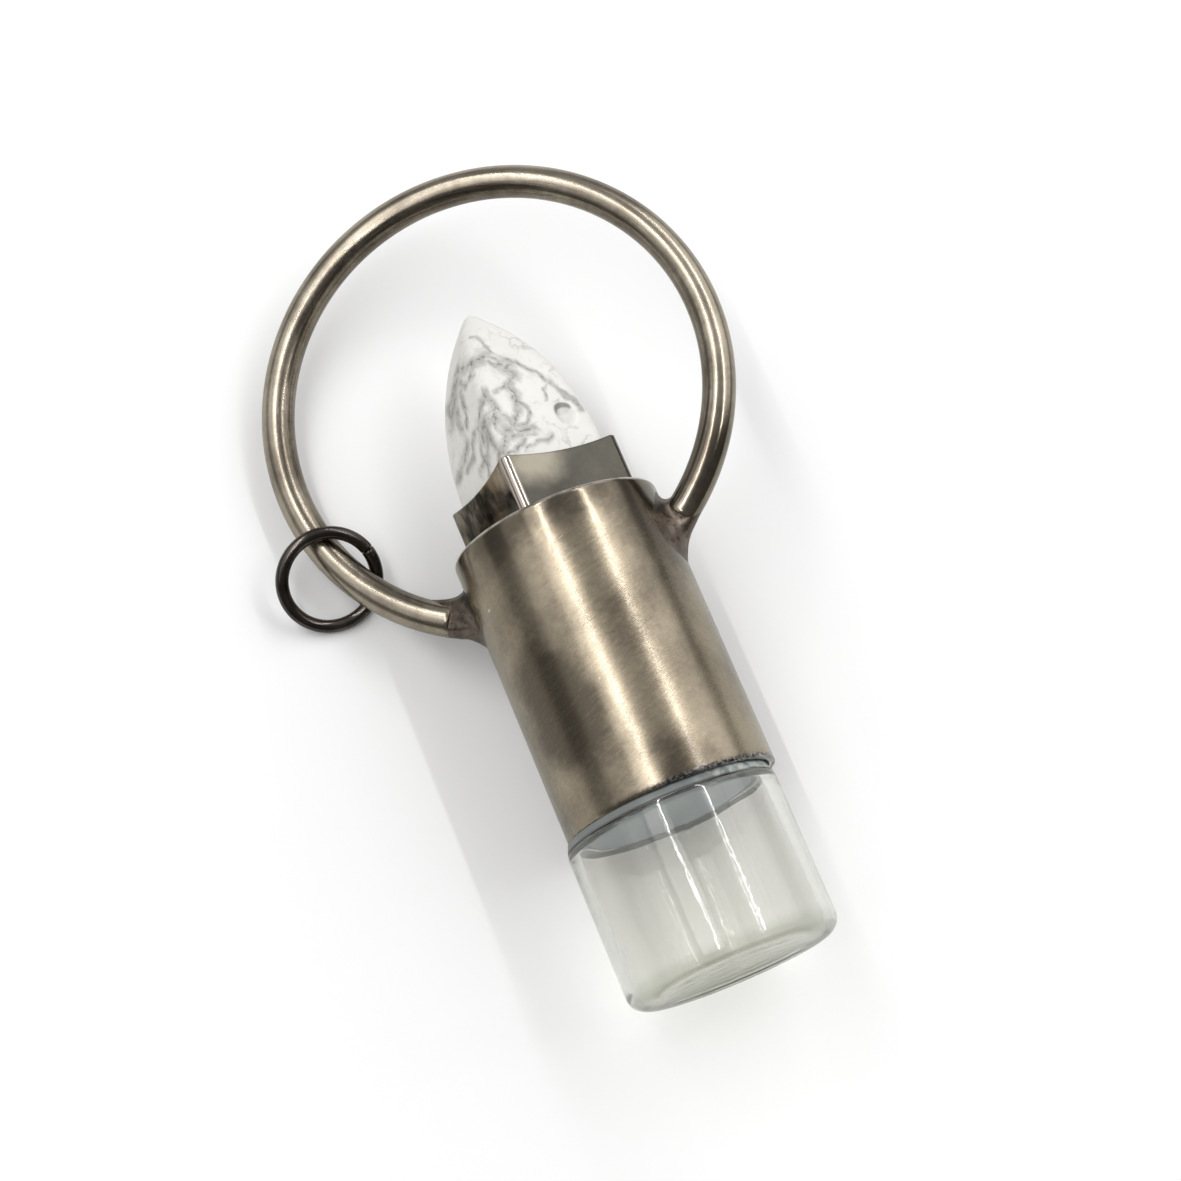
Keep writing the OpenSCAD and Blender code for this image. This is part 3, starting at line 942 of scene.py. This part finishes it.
# The jump ring is a turn of thinner brass wire, plated near black and shiny. It was opened and closed again
# round the hoop, so its two cut ends meet with a fine gap, and it leans on the table.
ring_d = 8.2 * mm
ring_wire_r = ring_wire / 2
ring_r = ring_d / 2 - ring_wire_r
ring_cut = radians(1.6)
ring_cut_at = radians(20)
ring_chamfer = 0.04 * mm
ring_low, ring_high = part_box("jump_ring")
ring_tilt = acos((ring_high.y - ring_low.y - ring_wire) / (2 * ring_r))
ring_middle = (ring_low + ring_high) / 2
on_ring = Matrix.Translation(ring_middle) @ Matrix.Rotation(ring_tilt, 4, "X")
on_ring = on_ring @ Matrix.Rotation(ring_cut_at, 4, "Z")


def ring_path(angle):
    out = Vector((cos(angle), sin(angle), 0))
    return out * ring_r, out, Vector((0, 0, 1))


def black_plating():
    material, tree, shader, _ = new_finish("black_jump_ring")
    along = kept(tree, "wire_place")
    dark, bare = (0.045, 0.04, 0.036), (0.15, 0.13, 0.118)
    plating = plated(tree, along, dark, bare, 1.8, 0.04)
    drawn = cloud(tree, stretched(tree, along, 9.0, 0.4), 1.0, 3.0)
    rough = plus(tree, 0.15, times(tree, ramp(tree, drawn, 0.4, 0.7), 0.12))
    bump = bumped(tree, drawn, 0.3, 0.01)
    feed(tree, shader, {"Metallic": 1.0, "Base Color": plating, "Roughness": rough, "Normal": bump})
    return material


ring_span = (ring_cut / 2, 2 * pi - ring_cut / 2)
jump_ring = swept_wire(
    "jump_ring_wire", ring_path, ring_span, ring_r, ring_wire_r, ring_chamfer, 144, 28, on_ring
)
jump_ring.data.materials.append(black_plating())
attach(jump_ring, "cap")
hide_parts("jump_ring")

# The bottle is a clear vial of drawn glass, cut short. Its wall is a little wavy, its heel is round, and the
# base was pressed in slightly. A narrower neck stands up inside the sleeve.
bottle_len = 12.8 * mm
neck_r = 7.0 * mm
shoulder_r = sleeve_r - neck_r
neck_len = 8.0 * mm
neck_wall = 0.6 * mm
neck_lip_r = 0.15 * mm
glass_wall = 0.9 * mm
base_t = 0.6 * mm
heel_r = 1.3 * mm
inner_heel_r = 0.7 * mm
stand_w = 0.9 * mm
punt_r = sleeve_r - heel_r - stand_w
punt_depth = 0.5 * mm
mouth_gap = 0.1 * mm
wall_wave = 0.05 * mm
on_glass = Matrix.Translation((-glass_shift, 0, 0)) @ laid


def punt(bottom):
    """The shallow dome pressed into the base, from the axis out to the standing ring."""
    steps = 16
    dome = [(punt_r * k / steps, bottom + punt_depth * (1 - (k / steps) ** 2)) for k in range(steps)]
    return dome + [(punt_r, bottom)]


def bottle_outline():
    bottom = -bottle_len
    shoulder = -mouth_gap - shoulder_r
    bore, neck_bore = sleeve_r - glass_wall, neck_r - neck_wall
    inner_shoulder_r = bore - neck_bore
    inner_shoulder = -mouth_gap - glass_wall / 2 - inner_shoulder_r
    rows = 12
    low, high = bottom + heel_r, shoulder
    wall = [(sleeve_r, low + (high - low) * k / rows) for k in range(1, rows)]
    inner_low = bottom + base_t + inner_heel_r
    inner_wall = [(bore, inner_shoulder + (inner_low - inner_shoulder) * k / rows) for k in range(1, rows)]
    outside = punt(bottom) + arc(sleeve_r - heel_r, low, heel_r, -90, 0, 14) + wall
    lip_z = neck_len - neck_lip_r
    outside += arc(neck_r, shoulder, shoulder_r, 0, 90, 12) + [(neck_r, lip_z)]
    rim = arc(neck_r - neck_lip_r, lip_z, neck_lip_r, 0, 90, 4)[1:]
    rim += arc(neck_bore + neck_lip_r, lip_z, neck_lip_r, 90, 180, 4)
    inside = arc(neck_bore, inner_shoulder, inner_shoulder_r, 90, 0, 12) + inner_wall
    inside += arc(bore - inner_heel_r, inner_low, inner_heel_r, 0, -90, 12)
    floor = []
    floor_steps = 24
    for k in range(1, floor_steps + 1):
        radius = (bore - inner_heel_r) * (1 - k / floor_steps)
        dome = 0.8 * punt_depth * max(0.0, 1 - (radius / punt_r) ** 2)
        floor.append((radius, bottom + base_t + dome))
    return outside + rim + inside + floor


def glass_shape(angle, radius, height):
    """Drawn glass is never quite round: the wall thins and thickens in long soft waves."""
    swell = noise.noise(Vector((cos(angle) * 2.2, sin(angle) * 2.2, height / (9 * mm))))
    if abs(radius - (sleeve_r - glass_wall)) < 1e-6:
        radius += wall_wave * swell
    return radius, height


def clear_glass():
    material, tree, shader, place = new_finish("clear_vial")
    # The drawn wall's long waves, with a finer ripple and twist. The base and the shoulder are calmer
    waves = cloud(tree, stretched(tree, place, 1.2, 0.4), 1.0, 2.0)
    ripple = cloud(tree, stretched(tree, place, 2.2, 2.6), 1.0, 1.0)
    height = plus(tree, times(tree, waves, 0.5), times(tree, ripple, 0.24))
    twist = cloud(tree, stretched(tree, place, 4.6, 2.4), 1.0, 1.0)
    height = plus(tree, height, times(tree, twist, 0.30))
    reach = length_of(tree, stretched(tree, place, 1.0, 0.0))
    height = times(tree, height, ramp(tree, reach, 7.2, 7.8, 0.25, 1.0))
    high = split(tree, place)[2]
    height = times(tree, height, ramp(tree, high, -12.0, -10.2, 0.0, 1.0))
    height = times(tree, height, ramp(tree, high, -2.6, -4.6, 0.35, 1.0))
    bump = bumped(tree, height, 0.5, 0.03)
    haze = cloud(tree, place, 2.0, 3.0)
    body = tint(tree, haze, (0.86, 0.855, 0.84), (0.885, 0.88, 0.868))
    body = tint(tree, ramp(tree, high, -10.8, -12.3), body, (0.66, 0.665, 0.615))
    finish = {
        "Base Color": body,
        "Transmission Weight": 1.0,
        "IOR": 1.5,
        "Roughness": ramp(tree, high, -12.0, -12.6, 0.0, 0.02),
        "Normal": bump,
    }
    feed(tree, shader, finish)
    # The lamps shine through, with a faint grey-green shade
    clear = add(tree, "ShaderNodeBsdfTransparent", {"Color": (0.84, 0.84, 0.82)})
    shade = add(tree, "ShaderNodeLightPath").outputs["Is Shadow Ray"]
    mixed = add(tree, "ShaderNodeMixShader", {0: shade, 1: shader.outputs[0], 2: clear.outputs[0]})
    tree.links.new(mixed.outputs[0], tree.nodes["Material Output"].inputs["Surface"])
    return material


bottle = turned("glass_bottle", bottle_outline(), 240, on_glass, glass_shape)
bottle.data.materials.append(clear_glass())
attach(bottle, "bottle")
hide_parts("bottle")

# The stopper is a pale blue-grey plug of soft plastic, pressed into the neck and bedded in the sleeve by its
# flange. Only its face shows, through the glass.
plug_gap = 0.1 * mm
plug_r = neck_r - neck_wall - plug_gap
flange_r = sleeve_r - sleeve_wall - glass_shift - plug_gap
flange_t = 2.0 * mm
flange_z = neck_len + plug_gap
face_z = -0.75 * mm
face_edge_r = 0.25 * mm


def stopper_outline():
    face = [(0, face_z + 0.12 * mm), (plug_r * 0.55, face_z + 0.1 * mm), (plug_r * 0.8, face_z)]
    edge = arc(plug_r - face_edge_r, face_z + face_edge_r, face_edge_r, -90, 0, 6)
    top = flange_z + flange_t
    flange = [(plug_r, flange_z), (flange_r, flange_z), (flange_r, top), (0, top)]
    return face + edge + flange


def grey_plug():
    material, tree, shader, place = new_finish("grey_plug")
    mottle = cloud(tree, place, 2.5, 3.0)
    colour = tint(tree, mottle, (0.27, 0.315, 0.34), (0.39, 0.435, 0.46))
    spot = split(tree, place)
    # Painted shade: the face's edge is dark on its low side. Painted light: the plug's side is pale
    reach = length_of(tree, stretched(tree, place, 1.0, 0.0))
    rim = ramp(tree, plus(tree, reach, times(tree, spot["Y"], 0.14)), 6.15, 6.3)
    rim = times(tree, rim, ramp(tree, spot["Z"], -0.45, -0.6))
    colour = tint(tree, ramp(tree, spot["Z"], -0.62, -0.5), colour, (0.52, 0.57, 0.58))
    colour = tint(tree, times(tree, rim, 0.9), colour, (0.045, 0.05, 0.055))
    bump = bumped(tree, cloud(tree, place, 0.6, 2.0), 0.3, 0.03)
    finish = {
        "Base Color": colour,
        "Subsurface Weight": 0.4,
        "Subsurface Radius": (1.0, 1.0, 1.0),
        "Subsurface Scale": 1.2 * mm,
        "Roughness": 0.4,
        "Normal": bump,
    }
    feed(tree, shader, finish)
    return material


stopper = turned("plug", stopper_outline(), 120, on_glass)
stopper.data.materials.append(grey_plug())
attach(stopper, "cap")
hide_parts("stopper")

# A bead of greyish glue stands in the groove between the sleeve's mouth and the bottle's shoulder. It was
# wiped round with a finger and set a little uneven, and it is thick and milky at the right, where its paler
# colour is partly a painted glint.
bead_gap = 0.03 * mm
press_in = 0.04 * mm
press_from = neck_r + 0.6 * mm


def bead_outline():
    """Its section in the groove: down the neck, along the glass, and up the outer side to the mouth."""
    under = arc(neck_r, -mouth_gap - shoulder_r, shoulder_r + bead_gap, 86, 24, 10)
    inside = neck_r + 0.05 * mm
    return [(inside, 0.3 * mm), (inside, 0.0)] + under + [
        (sleeve_r - 0.11 * mm, -0.42 * mm),
        (sleeve_r - 0.2 * mm, -0.18 * mm),
        (sleeve_r - 0.25 * mm, -0.03 * mm),
        (neck_r + 0.09 * mm, -0.02 * mm),
        (neck_r + 0.09 * mm, 0.3 * mm),
    ]


def bead_shape(angle, radius, height):
    """Presses the outer side in a little, unevenly. The side against the glass stays as it is."""
    from_shoulder = sqrt((radius - neck_r) ** 2 + (height + mouth_gap + shoulder_r) ** 2)
    if from_shoulder > shoulder_r + 2 * bead_gap and radius > press_from:
        radius -= press_in * (1 + noise.noise(Vector((cos(angle), sin(angle), 8.3)) * 3))
    return radius, height


def pale_glue():
    material, tree, shader, place = new_finish("pale_glue")
    milky = tint(tree, cloud(tree, place, 1.5, 3.0), (0.125, 0.137, 0.131), (0.22, 0.235, 0.224))
    spot = split(tree, place)
    uneven = ramp(tree, cloud(tree, place, 0.6, 3.0), 0.35, 0.6)
    # Paler towards the right: thick milky glue, and partly a painted glint
    thick = times(tree, ramp(tree, spot["X"], 2.5, 6.5), uneven)
    milky = tint(tree, thick, milky, (0.50, 0.54, 0.52))
    bump = bumped(tree, cloud(tree, place, 0.5, 2.0), 0.3, 0.03)
    feed(tree, shader, {"Base Color": milky, "Roughness": 0.28, "Normal": bump})
    return material


bead = turned("glue_bead", bead_outline(), 240, on_glass, bead_shape, closed=True)
bead.data.materials.append(pale_glue())
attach(bead, "cap")
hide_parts("stopper")

# The scene is brought up to date
bpy.context.view_layer.update()
